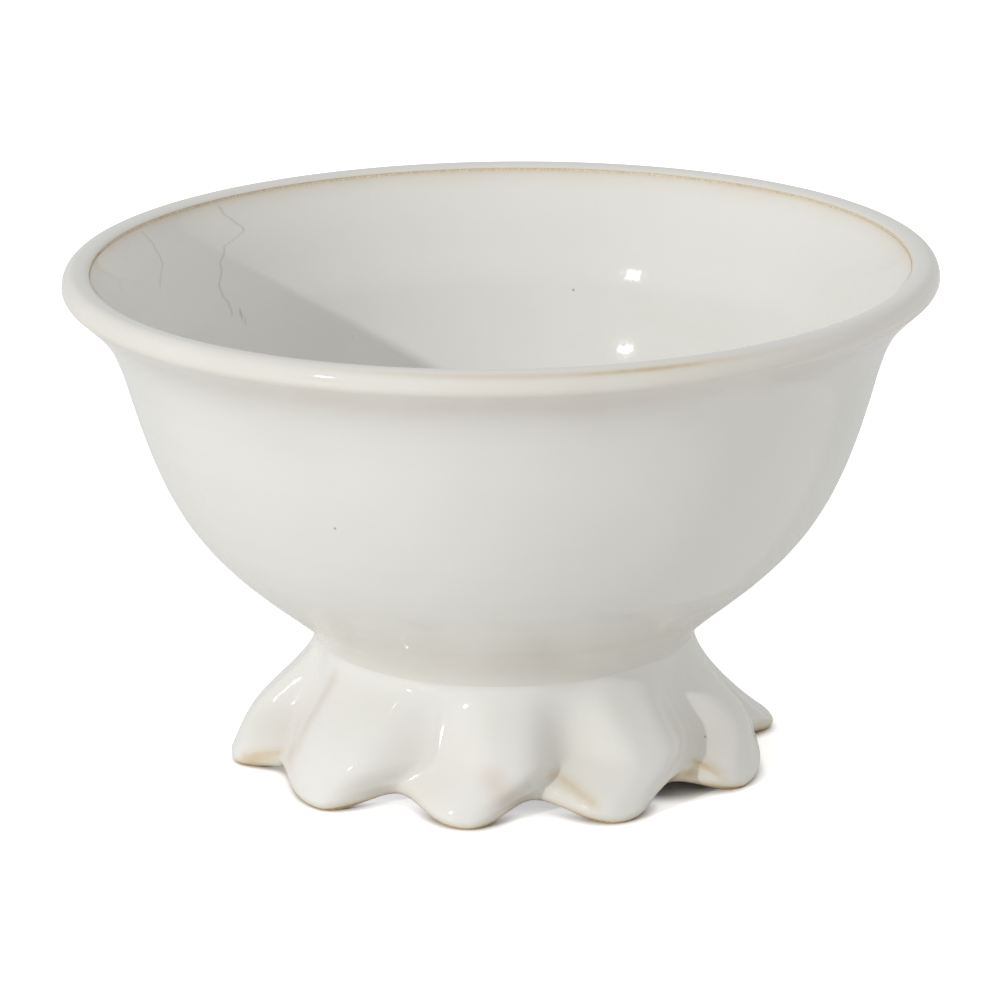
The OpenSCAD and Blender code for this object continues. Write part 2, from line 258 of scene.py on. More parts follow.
# %% [markdown]
# ## Colours and the node helper
#
# Colours are noted as a screen shows them, in sRGB hex. Blender mixes light in linear values, so one
# function converts them. Materials could be wired by hand in the Shader Editor. Here one small helper adds
# a node with its settings and links, so a material reads from top to bottom like a recipe.

# %% Colour and node helpers
def linear(hex_colour):
    """sRGB hex to linear RGBA: c / 12.92 below 0.04045, ((c + 0.055) / 1.055)^2.4 above it."""
    values = [int(hex_colour[k : k + 2], 16) / 255 for k in (1, 3, 5)]
    return [c / 12.92 if c <= 0.04045 else ((c + 0.055) / 1.055) ** 2.4 for c in values] + [1.0]


def add_node(tree, kind, settings=None, links=None):
    """Adds a shader node of a kind. settings are its properties or sockets, links are (node, output) pairs."""
    node = tree.nodes.new("ShaderNode" + kind)
    for key, value in (settings or {}).items():
        if isinstance(key, str) and hasattr(node, key):
            setattr(node, key, value)
        else:
            node.inputs[key].default_value = value
    for key, (source, output) in (links or {}).items():
        tree.links.new(source.outputs[output], node.inputs[key])
    return node


def set_stops(ramp, stops):
    """Fills a Color Ramp with (place, hex) stops."""
    elements = ramp.color_ramp.elements
    while len(elements) < len(stops):
        elements.new(1.0)
    for element, (place, hex_colour) in zip(elements, stops):
        element.position = place
        element.color = linear(hex_colour)


def new_material(name):
    """An empty node material and its tree."""
    material = bpy.data.materials.new(name)
    material.use_nodes = True
    material.node_tree.nodes.clear()
    return material, material.node_tree


def end_in(tree, settings, links):
    """Ends a material in a Principled shader with these settings and links."""
    shader = add_node(tree, "BsdfPrincipled", settings, links)
    add_node(tree, "OutputMaterial", None, {"Surface": (shader, "BSDF")})


TINT = {"data_type": "RGBA", "blend_type": "MULTIPLY"}
print("mid grey #808080 is", round(linear("#808080")[0], 3), "in linear light")

# %% [markdown]
# ## Thick white glaze
#
# An opaque stoneware glaze, melted to a glossy coat about half a millimetre thick. Where it lies thick it
# is a warm white. Where it thins over an edge, the iron in the clay shows through: first cream, then
# tan, then a toasted orange brown. Painting that would need an image, so the mark "thin" on each mesh says
# how far it has gone, a ramp turns that into a tone, and fine noise makes the line waver. The inside and
# the foot were poured thick. The outside gets a copy a little darker, which is painted shade for the dimmer
# light that falls on it. Pinholes are bubbles that burst late in the firing. To the eye the gloss and a
# faint orange peel say "glaze", and the tan edges say "stoneware".

# %% Material: white glaze
def make_glaze(name, white):
    """Glossy glaze: white where thick, browner by the mark "thin", with clouds, pinholes and orange peel."""
    material, tree = new_material(name)
    place = add_node(tree, "TexCoord")
    on_piece = {"Vector": (place, "Object")}
    thin = add_node(tree, "Attribute", {"attribute_name": "thin"})
    blush_and_shade = add_node(tree, "Attribute", {"attribute_name": "blush_and_shade"})
    # 3 mm noise makes the breaking line waver
    product = {"operation": "MULTIPLY"}
    centred = {"operation": "MULTIPLY_ADD", 1: 0.5, 2: -0.25}
    waver = add_node(tree, "TexNoise", {"Scale": 330.0, "Detail": 3.0}, on_piece)
    shift = add_node(tree, "Math", centred, {0: (waver, "Fac")})
    gate = add_node(tree, "Math", product, {0: (shift, 0), 1: (thin, "Fac")})
    clamped_sum = {"operation": "ADD", "use_clamp": True}
    broken = add_node(tree, "Math", clamped_sum, {0: (thin, "Fac"), 1: (gate, 0)})
    tone = add_node(tree, "ValToRGB", None, {"Fac": (broken, 0)})
    set_stops(tone, [(0.0, white), (0.3, "#ddd6c7"), (0.6, "#cbb693"), (0.85, "#b0895a"), (1.0, "#94683c")])
    # 45 mm clouds, where the coat was poured twice, lean to a cooler white. 22 mm ones blush pink and darken,
    # as far as the mark of blush and painted shade lets them; in the foot's folds that mark is painted shade
    # only
    cloud = add_node(tree, "TexNoise", {"Scale": 22.0, "Detail": 2.0}, on_piece)
    pink = add_node(tree, "TexNoise", {"Scale": 45.0, "Detail": 2.0}, on_piece)
    cool = add_node(tree, "MapRange", {1: 0.4, 2: 0.7, 3: 0.0, 4: 0.25}, {0: (cloud, "Fac")})
    clouded = add_node(tree, "Mix", {**TINT, 7: linear("#eff1ec")}, {0: (cool, 0), 6: (tone, "Color")})
    blush_and_shade_share = add_node(tree, "Math", product, {0: (pink, "Fac"), 1: (blush_and_shade, "Fac")})
    tinted = add_node(tree, "Mix", {**TINT, 7: linear("#d9b89c")}, {0: (blush_and_shade_share, 0), 6: (clouded, 2)})
    # Pinholes: one cell in thirty of a 9 mm cell pattern holds a dark speck 0.7 mm across
    cells = add_node(tree, "TexVoronoi", {"Scale": 110.0}, on_piece)
    chance = add_node(tree, "SeparateColor", None, {"Color": (cells, "Color")})
    rare = add_node(tree, "Math", {"operation": "GREATER_THAN", 1: 0.965}, {0: (chance, "Red")})
    speck = add_node(tree, "MapRange", {1: 0.03, 2: 0.05, 3: 0.55, 4: 0.0}, {0: (cells, "Distance")})
    hole = add_node(tree, "Math", product, {0: (rare, 0), 1: (speck, 0)})
    # Hairlines, in which dirt has settled
    hair = add_node(tree, "Attribute", {"attribute_name": "hairline"})
    dark = add_node(tree, "Math", {"operation": "MAXIMUM"}, {0: (hole, 0), 1: (hair, "Fac")})
    dirty = {"data_type": "RGBA", 7: linear("#6d6256")}
    final = add_node(tree, "Mix", dirty, {0: (dark, 0), 6: (tinted, 2)})
    # Orange peel 5 mm and 1.5 mm across, hundredths of a millimetre deep; pinholes and hairlines sink in
    peel = add_node(tree, "TexNoise", {"Scale": 190.0, "Detail": 1.0}, on_piece)
    fine = add_node(tree, "TexNoise", {"Scale": 680.0, "Detail": 0.0}, on_piece)
    less, down = {"operation": "MULTIPLY_ADD", 1: 0.7}, {"operation": "MULTIPLY_ADD", 1: -2.0}
    both = add_node(tree, "Math", less, {0: (fine, "Fac"), 2: (peel, "Fac")})
    sunk = add_node(tree, "Math", down, {0: (dark, 0), 2: (both, 0)})
    bump = add_node(tree, "Bump", {"Strength": 0.35, "Distance": 0.00006}, {"Height": (sunk, 0)})
    end_in(tree, {"Roughness": 0.06, "IOR": 1.52}, {"Base Color": (final, 2), "Normal": (bump, "Normal")})
    return material


thick_glaze = make_glaze("white_stoneware_glaze_poured_thick", "#e3e2dd")
# Painted shade: the outside gets a copy of the glaze a little darker, for the dimmer light that falls on it
outer_glaze_painted_darker = make_glaze("white_stoneware_glaze_painted_darker", "#dddcd7")
print("materials:", thick_glaze.name, outer_glaze_painted_darker.name)

# %% [markdown]
# ## Toasted stoneware
#
# Where no glaze lies, the clay shows: a buff stoneware that the kiln toasts to orange brown. It is
# matt and a little gritty from the grog, the ground fired clay mixed in, whose grains are about half a
# millimetre across. One flat brown would look like paint, so a broad noise chooses between toasted
# tones and a fine one makes the grains. Beside the gloss, the dry grain tells the eye that this is bare clay.

# %% Material: bare clay
def make_clay(name, stops, roughness):
    """Matt clay: a broad noise and the mark "toast" choose its tone, and grog darkens and roughens it."""
    material, tree = new_material(name)
    place = add_node(tree, "TexCoord")
    on_piece = {"Vector": (place, "Object")}
    broad = add_node(tree, "TexNoise", {"Scale": 90.0, "Detail": 4.0}, on_piece)
    toast = add_node(tree, "Attribute", {"attribute_name": "toast"})
    clamped_rest = {"operation": "SUBTRACT", "use_clamp": True}
    heat = add_node(tree, "Math", clamped_rest, {0: (broad, "Fac"), 1: (toast, "Fac")})
    tone = add_node(tree, "ValToRGB", None, {"Fac": (heat, 0)})
    set_stops(tone, stops)
    # Grog 0.5 mm across
    grog = add_node(tree, "TexNoise", {"Scale": 2000.0, "Detail": 2.0}, on_piece)
    dark = add_node(tree, "MapRange", {1: 0.3, 2: 0.7, 3: 0.75, 4: 1.1}, {0: (grog, "Fac")})
    grained = add_node(tree, "Mix", {**TINT, 0: 1.0}, {6: (tone, "Color"), 7: (dark, 0)})
    bump = add_node(tree, "Bump", {"Strength": 0.5, "Distance": 0.0001}, {"Height": (grog, "Fac")})
    end_in(tree, {"Roughness": roughness, "IOR": 1.5}, {"Base Color": (grained, 2), "Normal": (bump, "Normal")})
    return material


toasted = [(0.0, "#a98a62"), (0.3, "#c0a67e"), (0.5, "#d0bf9f"), (0.7, "#dccfb6")]
buff = [(0.3, "#b39768"), (0.5, "#c6ab7c"), (0.7, "#d3bd94")]
bare_clay = make_clay("buff_stoneware_toasted_in_the_kiln", toasted, 0.6)
slip_clay = make_clay("buff_slip_fired", buff, 0.8)
print("materials:", bare_clay.name, slip_clay.name)

# %% [markdown]
# ## The profile of the bowl
#
# The outside runs from the neck up the belly to the throat, flares to the underside of the roll, and
# goes over the roll to the lip. The inside runs from the lip back down to the floor. Each could be drawn
# freehand over the photograph, but chained curves keep the joins smooth and the sizes as noted.

# %% Outside profile
lean = np.array([math.tan(math.radians(WALL_LEAN)), 1.0])
belly = [NECK, inside(NECK, THROAT, [0.6, 0.33]), THROAT - lean * 0.57 * (THROAT[1] - NECK[1]), THROAT]
flare = [
    THROAT,
    THROAT + lean * 0.58 * (ROLL_UNDER[1] - THROAT[1]),
    inside(THROAT, ROLL_UNDER, [0.46, 0.7]),
    ROLL_UNDER,
]
edge = np.array([RIM_R, EDGE_Z])
roll_under = [ROLL_UNDER, inside(ROLL_UNDER, edge, [0.45, 0.3]), inside(ROLL_UNDER, edge, [1, 0.5]), edge]
crown = quarter([CROWN_R, EDGE_Z], [RIM_R - CROWN_R, HEIGHT - EDGE_Z], 0, 90, CROWN_ROWS)
lip_size = [CROWN_R - LIP[0], HEIGHT - LIP[1]]
lip_arc = quarter([CROWN_R, LIP[1]], lip_size, 90, 180 - BARE_ARC, LIP_ROWS)
# The power draws points together at the neck, where the pooled glaze turns sharply
outside = np.vstack(
    [
        bezier(belly, np.linspace(0, 1, BELLY_ROWS) ** 1.5),
        bezier(flare, np.linspace(0, 1, FLARE_ROWS)[1:]),
        bezier(roll_under, np.linspace(0, 1, UNDER_ROWS)[1:]),
        crown[1:],
        lip_arc[1:],
    ]
)
length_out = run_length(outside)
print("outside", round(length_out[-1], 1), "mm long in", len(outside), "points")

# %% Inside profile
inner_throat = np.array([THROAT[0] - WALL, THROAT[1]])
floor_edge = np.array([FLOOR_R, FLOOR_Z])
mouth = [LIP, inside(LIP, inner_throat, [0.17, 0.17]), inside(LIP, inner_throat, [0.84, 0.54]), inner_throat]
basin = [
    inner_throat,
    inside(inner_throat, floor_edge, [0.104, 0.664]),
    inside(inner_throat, floor_edge, [0.585, 1]),
    floor_edge,
]
# A cubic curve leaves its first point at three times the length of its first pull
bare_share = BARE_LINE / (3 * np.linalg.norm(mouth[1] - mouth[0]))
t_mouth = np.linspace(bare_share, 1, MOUTH_ROWS)
floor_line = np.stack([np.linspace(FLOOR_R, 1.0, FLOOR_ROWS), np.full(FLOOR_ROWS, FLOOR_Z)], -1)
inward = np.vstack([bezier(mouth, t_mouth), bezier(basin, np.linspace(0, 1, BASIN_ROWS)[1:]), floor_line[1:]])
# The potter's rib leaves the wall inside a little straighter under the throat
RIB_DEPTH, RIB_Z, RIB_RUN = 1.0, 98, 8
inward[:, 0] += RIB_DEPTH * np.exp(-(((inward[:, 1] - RIB_Z) / RIB_RUN) ** 2))
length_in = run_length(inward)
print("inside", round(length_in[-1], 1), "mm long in", len(inward), "points")

# %% [markdown]
# ## The marks of the wheel
#
# A wheel leaves faint rings, a spiral that climbs with the hands. A bump in the material could fake them,
# but real waves also bend the reflections and the outline, so both walls get one: a wave along the profile
# whose phase turns once round the bowl. It dies out on the roll, which the potter smooths.

# %% Turning a profile, with throwing rings
RINGS_OUT, RINGS_IN = (8.0, 0.03), (6.0, 0.02)  # their spacing and depth in mm
COLUMNS = 384
around = np.arange(COLUMNS) / COLUMNS * TURN


def turned(profile, angle):
    """Carries [radius, height] points round the axis: x = r sin a, y = -r cos a, z = h."""
    x = profile[..., 0] * np.sin(angle)
    y = -profile[..., 0] * np.cos(angle)
    return np.stack([x, y, np.broadcast_to(profile[..., 1], x.shape)], -1)


def throwing_rings(length, angle, spacing, depth):
    """A spiral wave 0.6 * depth * sin(TURN * length / spacing + angle), and a slow swell of the full depth."""
    spiral = np.sin(TURN * length / spacing + angle)
    swell = np.sin(TURN * length / (5.3 * spacing) - 2 * angle + 0.7) * np.sin(3 * angle + 1.9)
    return depth * (0.6 * spiral + swell)


def thrown(profile, angle, spacing, depth, calm):
    """A profile turned about the axis, each point moved along its normal by the throwing rings.

    calm is 1 where the rings show in full and 0 where the potter smoothed them away.
    """
    length = run_length(profile)[:, None]
    push = (throwing_rings(length, angle[None, :], spacing, depth) - depth) * calm[:, None]
    moved = profile[:, None, :] + side_normal(profile)[:, None, :] * push[..., None]
    return turned(moved, angle[None, :])


print(COLUMNS, "columns round the rim,", round(TURN * RIM_R / COLUMNS, 2), "mm apart")

# %% [markdown]
# ## The glaze outside
#
# The glaze was poured over the outside and runs over the roll to the lip, where it thins out to the clay.
# At the neck it pooled instead, and fills the crease between bowl and foot. A Solidify modifier could give
# the coat its thickness, but not less at the lip and more at the neck, so both of its sides are worked out.

# %% Outer coat: its two sides
def pooled(profile):
    """Glaze that filled the crease at the neck: POOL * exp(-distance / POOL_RUN), outward and down."""
    away = np.linalg.norm(profile - NECK, axis=-1)[..., None]
    return profile + POOL * np.exp(-away / POOL_RUN) * np.array([0.64, -0.77])


roll_start = BELLY_ROWS + FLARE_ROWS - 1
# The rings die out over the last 18 mm below the roll, and begin over the first 12 mm above the neck
calm_out = np.clip((length_out[roll_start] - length_out) / 18, 0, 1) * np.clip(length_out / 12, 0, 1)
share_out = np.ones(len(outside))
share_out[1 - LIP_ROWS :] = 1 + (THIN - 1) * np.linspace(0, 90 - BARE_ARC, LIP_ROWS)[1:] / 90
outer_front = thrown(pooled(outside), around, *RINGS_OUT, calm_out)
outer_clay = outside - side_normal(outside) * GLAZE * share_out[:, None]
# The side on the clay is never seen, so one row in eight is enough
back_rows = np.unique(np.append(np.arange(0, len(outside), 8), len(outside) - 1))
outer_grid = np.vstack([outer_front, turned(outer_clay[back_rows][:, None, :], around[None, :])[::-1]])
print("outer coat", GLAZE, "mm thick,", round(GLAZE * share_out[-1], 2), "mm at the lip")

# %% [markdown]
# ## Marks on a coat
#
# A real glaze tells where it ran thin, where it blushed and where dirt settled. Each such mark is an
# array over the grid, made of smooth bumps: across a line, along it, or round a stroke between points that
# were read off the photograph. Painted on an image, they wouldn't follow a change of the sizes.

# %% Bumps, and strokes along a line
def bell(x, centre, width):
    """A smooth bump exp(-((x - centre) / width)^2)."""
    return np.exp(-(((x - centre) / width) ** 2))


def turn_from(degrees, centre):
    """How far directions lie from a centre, in degrees between -180 and 180."""
    return (degrees - centre + 180) % 360 - 180


def stroke(degrees, along, radius, points, width):
    """A soft line through [direction, distance along the profile] points: a bump of the distance to it.

    Directions become arc lengths at the given radius, so that width is in mm both ways.
    """
    u = np.radians(turn_from(degrees, points[0][0])) * radius
    nearest = np.full(np.broadcast(u, along).shape, np.inf)
    line = [(math.radians(turn_from(a, points[0][0])) * radius, s) for a, s in points]
    for (u0, s0), (u1, s1) in zip(line[:-1], line[1:]):
        du, ds = u1 - u0, s1 - s0
        share = np.clip(((u - u0) * du + (along - s0) * ds) / (du**2 + ds**2 + 1e-9), 0, 1)
        nearest = np.minimum(nearest, np.hypot(u - u0 - share * du, along - s0 - share * ds))
    return bell(nearest, 0, width)


print("a bump 2 mm wide is", round(bell(2.0, 0, 2.0), 2), "high 2 mm from its middle")

# %% [markdown]
# ## Where the outer coat runs thin
#
# The coat is thinnest on the outer shoulder of the roll, from which the melt ran both ways. A second tan
# line shows there, faint on the left and strong at the front right, with some dirt in it. Bells across
# the line and along it make it fade as the real one does, where a painted ring would stay even.

# %% Outer coat: its marks, and the piece
degrees = np.degrees(around)[None, :]
shoulder_row = roll_start + (UNDER_ROWS - 1) + (CROWN_ROWS - 1) // 2
to_shoulder = (length_out - length_out[shoulder_row])[:, None]
# Thin all along the shoulder, thinner within 18 degrees of the front, thinnest 20 degrees to the right of it
strength = 0.07 + 0.2 * bell(turn_from(degrees, 3), 0, 18) + 0.35 * bell(turn_from(degrees, 20), 0, 10)
# The line climbs half a millimetre at the front left. It has a core 0.7 mm wide and a softer edge
higher = 0.5 * bell(turn_from(degrees, -25), 0, 25)
shoulder = strength * (0.7 * bell(to_shoulder, higher, 0.7) + 0.3 * bell(to_shoulder, higher, 1.8))
# Cream shows 3 mm below the line, at the lip, and low on the belly
cream = 0.08 * bell(to_shoulder, -3.2, 2.0)
lip_break = 0.2 * bell(length_out - length_out[-1], 0, 0.7)[:, None]
warm = 0.08 * bell(length_out, 12, 20)[:, None]
thin_out = np.clip(shoulder + cream + lip_break + warm, 0, 1)
# Pink blushes and painted shade lie low on the belly and in the hollow under the roll, more at the front
low = 0.15 * bell(length_out, 14, 8)[:, None]
under_roll_blush_and_shade = 0.35 * bell(to_shoulder, -9, 6) * (0.5 + 0.5 * bell(turn_from(degrees, 10), 0, 60))
dirt = 0.14 * bell(turn_from(degrees, 5), 0, 28) * bell(to_shoulder, higher, 0.9)


def with_back(marks):
    """Marks of the finished side, followed by those of the rows under it."""
    return np.vstack([marks, marks[back_rows][::-1]])


outer_marks = {"thin": with_back(thin_out), "blush_and_shade": with_back(low + under_roll_blush_and_shade), "hairline": with_back(dirt)}
outer_mesh = make_mesh("outer_coat", outer_grid, outer_marks)
make_piece("outer_coat", outer_mesh, outer_glaze_painted_darker, "glaze", "outer_glaze")

# %% [markdown]
# ## The glaze inside
#
# The inside was filled and poured out again, which leaves a thick, even coat. It starts just below the lip,
# thin and cream, and thickens down the wall. Its grid runs from the middle of the floor up to the lip and
# back under it. Its columns could be even, as outside, but they stand closer where the fine hairlines run.

# %% Inner coat: its two sides
# The hairlines run between 94 and 137 degrees on the left
HAIR_FROM, HAIR_TO, HAIR_STEP, WIDE_COLUMNS = -137.0, -94.0, 0.16, 280
fine_columns = np.radians(np.arange(HAIR_FROM, HAIR_TO, HAIR_STEP))
wide_columns = np.radians(np.linspace(HAIR_TO, HAIR_FROM + 360, WIDE_COLUMNS + 1))[:-1]
inner_angle = np.concatenate([fine_columns, wide_columns])
# The rings begin over the first 20 mm below the lip, and die out over the last 30 mm to the middle
calm_in = np.clip(length_in / 20, 0, 1) * np.clip((length_in[-1] - length_in) / 30, 0, 1)
# The coat reaches its full thickness a fifth of the way down the mouth's curve
share_in = np.ones(len(inward))
share_in[:MOUTH_ROWS] = THIN + (1 - THIN) * np.clip(t_mouth / 0.2, 0, 1)
inner_front = thrown(inward, inner_angle, *RINGS_IN, calm_in)
inner_clay = inward - side_normal(inward) * GLAZE * share_in[:, None]
inner_rows = np.unique(np.append(np.arange(0, len(inward), 8), len(inward) - 1))
inner_back = turned(inner_clay[inner_rows][:, None, :], inner_angle[None, :])
inner_grid = np.vstack([inner_front[::-1], inner_back])
print("columns at the hairlines", round(math.radians(HAIR_STEP) * THROAT[0], 2), "mm apart")

# %% [markdown]
# ## Hairlines
#
# At the back left a crooked hairline runs down from the lip, with a short one at its foot and two more to
# the left of it. The glaze drew apart there as it melted, and dirt has settled in the gap since. A cracked
# texture would scatter such lines anywhere, so each is drawn through places read off the photograph.

# %% Hairlines of the inner coat
HAIR_WIDTH = 0.35
degrees = np.degrees(inner_angle)[None, :]
along = length_in[:, None]
# Each hairline: its directions in degrees, its distances below the lip in mm, and how dark it is
hairlines = (
    ([-133, -133.1, -135.9, -130.3, -128.4, -126.6, -127.5], [0.5, 3, 8.2, 11.5, 15.8, 19.5, 28.1], 0.26),
    ([-129.4, -130.3], [26.1, 30.4], 0.4),
    ([-114.4, -115.3, -111.6], [0.5, 8.2, 14.9], 0.22),
    ([-98.5, -97.5, -96.5], [7.5, 9.4, 11], 0.16),
)


def hairline(degrees, along, directions, places):
    """A fine crooked line: its direction eases from place to place by s^2 (3 - 2 s), and wavers a little."""
    part = np.clip(np.searchsorted(places, along) - 1, 0, len(places) - 2)
    places, directions = np.array(places), np.array(directions)
    share = np.clip((along - places[part]) / (places[part + 1] - places[part]), 0, 1)
    eased = share * share * (3 - 2 * share)
    line = directions[part] + (directions[part + 1] - directions[part]) * eased
    line = line + 0.2 * np.sin(0.9 * along + 1.0) + 0.08 * np.sin(2.3 * along)
    ends = np.clip(np.minimum(along - places[0], places[-1] - along), 0, 1)
    return bell(np.radians(degrees - line) * THROAT[0], 0, HAIR_WIDTH) * ends


hair = np.zeros((len(inward), len(inner_angle)))
for directions, places, depth in hairlines:
    hair = np.maximum(hair, depth * hairline(degrees, along, directions, places))
print(len(hairlines), "hairlines, down to", max(places[-1] for _, places, _ in hairlines), "mm below the lip")

# %% Inner coat: its marks, and the piece
# Cream for a millimetre below the lip, deeper at the back left, and fainter for three
left_back = bell(turn_from(degrees, -122), 0, 22)
thin_in = np.clip((0.15 + 0.05 * left_back) * bell(along, 0, 0.8) + 0.1 * bell(along, 0, 3.0), 0, 1)


def both_sides(marks):
    """Marks of the finished surface, carried over to the rows of the grid under it."""
    return np.vstack([marks[::-1], marks[inner_rows]])


inner_marks = {"thin": both_sides(thin_in), "blush_and_shade": both_sides(thin_in), "hairline": both_sides(hair)}
inner_mesh = make_mesh("inner_coat", inner_grid, inner_marks, (FLOOR_Z, FLOOR_Z - GLAZE))
make_piece("inner_coat", inner_mesh, thick_glaze, "glaze", "inner_glaze")

# %% [markdown]
# ## The clay of the bowl
#
# The clay of the bowl shows only at the lip, as a thin line where both coats end. It could be two skins, but
# it is thrown in one, so it is turned in one: up the outside, over the lip, down the inside. Surfaces in
# the same place would flicker, so the clay lies a fiftieth of a millimetre under its coats.

# %% Thrown clay
CLAY_GAP = 0.02
clay_out = outside - side_normal(outside) * (GLAZE * share_out + CLAY_GAP)[:, None]
lip_bare = quarter([CROWN_R, LIP[1]], lip_size, 180 - BARE_ARC * 0.9, 180, 9)
mouth_bare = bezier(mouth, np.linspace(0, bare_share, 6))[1:-1]
bare = np.vstack([lip_bare, mouth_bare])
bare = bare - side_normal(bare) * (GLAZE * THIN + CLAY_GAP)
clay_in = inward - side_normal(inward) * (GLAZE * share_in + CLAY_GAP)[:, None]
clay_profile = np.vstack([clay_out[::3], bare, clay_in[::3]])
clay_grid = turned(clay_profile[:, None, :], around[None, :])
# The kiln left the lip pale, a little less so on the left
toast = -0.3 + 0.12 * bell(turn_from(np.degrees(around), -90), 0, 40)[None, :]
clay_mesh = make_mesh("thrown_clay", clay_grid, {"toast": toast}, (NECK[1], FLOOR_Z - GLAZE - CLAY_GAP))
make_piece("thrown_clay", clay_mesh, bare_clay, "clay", "bowl")

# %% [markdown]
# ## The lobed foot
#
# Each lobe of the skirt is pressed out between two folds. Column by column, a section runs from the neck
# to the hem: in a lobe it goes out full like a bell, in a fold it drops close and turns out at the
# bottom. Lobes and folds alternate, and half a cosine wave blends each section into the next. No two
# lobes are the same, because no two presses of a hand are. They could be pushed out with a sculpting
# brush, but a table of lobes and folds can be held against the photograph, one lobe at a time.

# %% Lobes and folds round the skirt
SKIRT_COLUMNS = 480
flank_place = np.arange(SKIRT_COLUMNS) / (SKIRT_COLUMNS / (2 * LOBES))
flank = np.floor(flank_place).astype(int)
way = flank_place - flank
its_lobe = ((flank + 1) // 2) % LOBES
its_fold = (flank // 2) % LOBES


def at_corner(k, lobes, folds):
    """Value of corner k, which is lobe k / 2 where k is even, and the fold after it where k is odd."""
    return np.where(k % 2 == 0, lobes[(k // 2) % LOBES], folds[(k // 2) % LOBES])


def corner_angle(k):
    """Direction of corner k, in degrees."""
    return FRONT_LOBE + (k / 2 + at_corner(k, LOBE_DRIFT, FOLD_DRIFT)) * 360 / LOBES


def corner_sweep(k):
    """How far corner k is swept round above the hem, in degrees."""
    return SWEEP * at_corner(k, LOBE_SWEEP, FOLD_SWEEP)


skirt_angle = np.radians(corner_angle(flank) * (1 - way) + corner_angle(flank + 1) * way)
skirt_sweep = np.radians(corner_sweep(flank) * (1 - way) + corner_sweep(flank + 1) * way)
blend = (1 + np.where(flank % 2 == 0, 1, -1) * np.cos(np.pi * way)) / 2
breadth = 1 - (1 - blend) ** BREADTH_POWER
rise = 1 - (1 - blend) ** RISE_POWER
crease = 1 - (1 - FOLD_FILL[its_fold]) * (1 - blend) ** CREASE_POWER
out_share = FOLD_REACH[its_fold] + (LOBE_REACH[its_lobe] - FOLD_REACH[its_fold]) * breadth
toe_r = FOLD_R + (TIP_R - FOLD_R) * out_share
arch_z = ARCH_H * FOLD_RISE[its_fold] + FOLD_ROUND
toe = np.stack([toe_r, arch_z + (TOE_H - arch_z) * rise], -1)
print("toes from", round(toe_r.min(), 1), "to", round(toe_r.max(), 1), "mm from the axis")

# %% [markdown]
# ## From the neck to the hem
#
# In every direction the skirt has an outer curve, a round hem and a curve under it. The hem is flat where
# it stands, because the soft foot settled on its board. One section could be bent round the foot by a
# modifier, but its pull changes from fold to lobe, so each column has its own.

# %% Sections of the skirt
def pulls(table, k):
    """Pull k of each column's curve: fold + (slim + (full - slim) * fullness - fold) * crease."""
    fold, slim, full = table[:, k]
    lobed = slim + (full - slim) * FULLNESS[its_lobe][:, None]
    return fold + (lobed - fold) * crease[:, None]


def section(start, end, table, t):
    """Cubic curves from start to end at t, one a column, as an array [column, point, (radius, height)]."""
    start = np.broadcast_to(start, end.shape)
    ends = [start, inside(start, end, pulls(table, 0)), inside(start, end, pulls(table, 1)), end]
    return bezier([p[:, None, :] for p in ends], t[None, :])


def hem(first, last, count, drawn):
    """Half round under the toe: centre + (size - drawn) * [cos, -sin], never below the table.

    first and last are its angles in degrees, one a column or the same for all.
    """
    share = np.linspace(0, 1, count)[None, :]
    first, last = (np.broadcast_to(degrees, toe_r.shape)[:, None] for degrees in (first, last))
    angle = np.radians(first + (last - first) * share)
    deep = (FOLD_ROUND + (HEM_ROUND - FOLD_ROUND) * rise)[:, None]
    half = SKIRT_T / 2
    r = toe[:, :1] - half + (half - drawn) * np.cos(angle)
    z = toe[:, 1:] - (deep - drawn) * np.sin(angle)
    return np.stack([r, np.maximum(z, 0)], -1)


def round_the_foot(sections):
    """Turns each column's section to its own direction, as a grid [point, column].

    Above the hem it is swept round by s^2 (3 - 2 s) of its sweep, where s goes from 0 to 1 in SWEEP_RISE.
    """
    grid = np.swapaxes(sections, 0, 1)
    s = np.clip((grid[..., 1] - SWEEP_H) / SWEEP_RISE, 0, 1)
    return turned(grid, skirt_angle[None, :] + skirt_sweep[None, :] * s * s * (3 - 2 * s))


def all_round(*points):
    """The same [radius, height] points in every column."""
    return np.broadcast_to(np.array(points), (SKIRT_COLUMNS, len(points), 2))


lowest = hem(0, 180, 37, 0)[..., 1].min(1)
print("share of the hem on the table:", round((lowest == 0).mean(), 2))

# %% [markdown]
# ## The glaze on the foot
#
# The foot was dipped, and its hem wiped clean, so that it wouldn't stick to the kiln's shelf. So the coat
# thins toward the hem on both sides and ends on its round, lower in the folds than on the lobes. As on the
# bowl, the finished surface comes first and the clay is drawn in from it by the coat's thickness.

# %% Both curves of the skirt, and the clay under their glaze
OUTER_ROWS, INNER_ROWS, HEM_ROWS = 65, 49, 9
WIPED_FOLD, WIPED_LOBE = 75, 30  # where the coat ends on the hem's round, in degrees
t_outer = np.linspace(0, 1, OUTER_ROWS)
t_under = np.linspace(0, 1, INNER_ROWS)
glaze_end = WIPED_FOLD + (WIPED_LOBE - WIPED_FOLD) * rise
under_top = np.array([SEAT_IN - GLAZE, SEAT_Z])
outer_skirt = section(NECK, toe, OUTER_PULL, t_outer)
under_skirt = section(under_top, toe - [SKIRT_T, 0], UNDER_PULL, t_under)
outer_depth = GLAZE * (1 + (THIN - 1) * t_outer**THIN_POWER)
under_depth = GLAZE * (1 + (THIN - 1) * (1 - (1 - t_under) ** (1 / THIN_POWER)))
outer_clay = outer_skirt + side_normal(outer_skirt) * outer_depth[None, :, None]
under_clay = under_skirt - side_normal(under_skirt) * under_depth[None, :, None]
print("coat on the foot", GLAZE, "mm thick,", round(outer_depth[-1], 2), "mm at the hem")

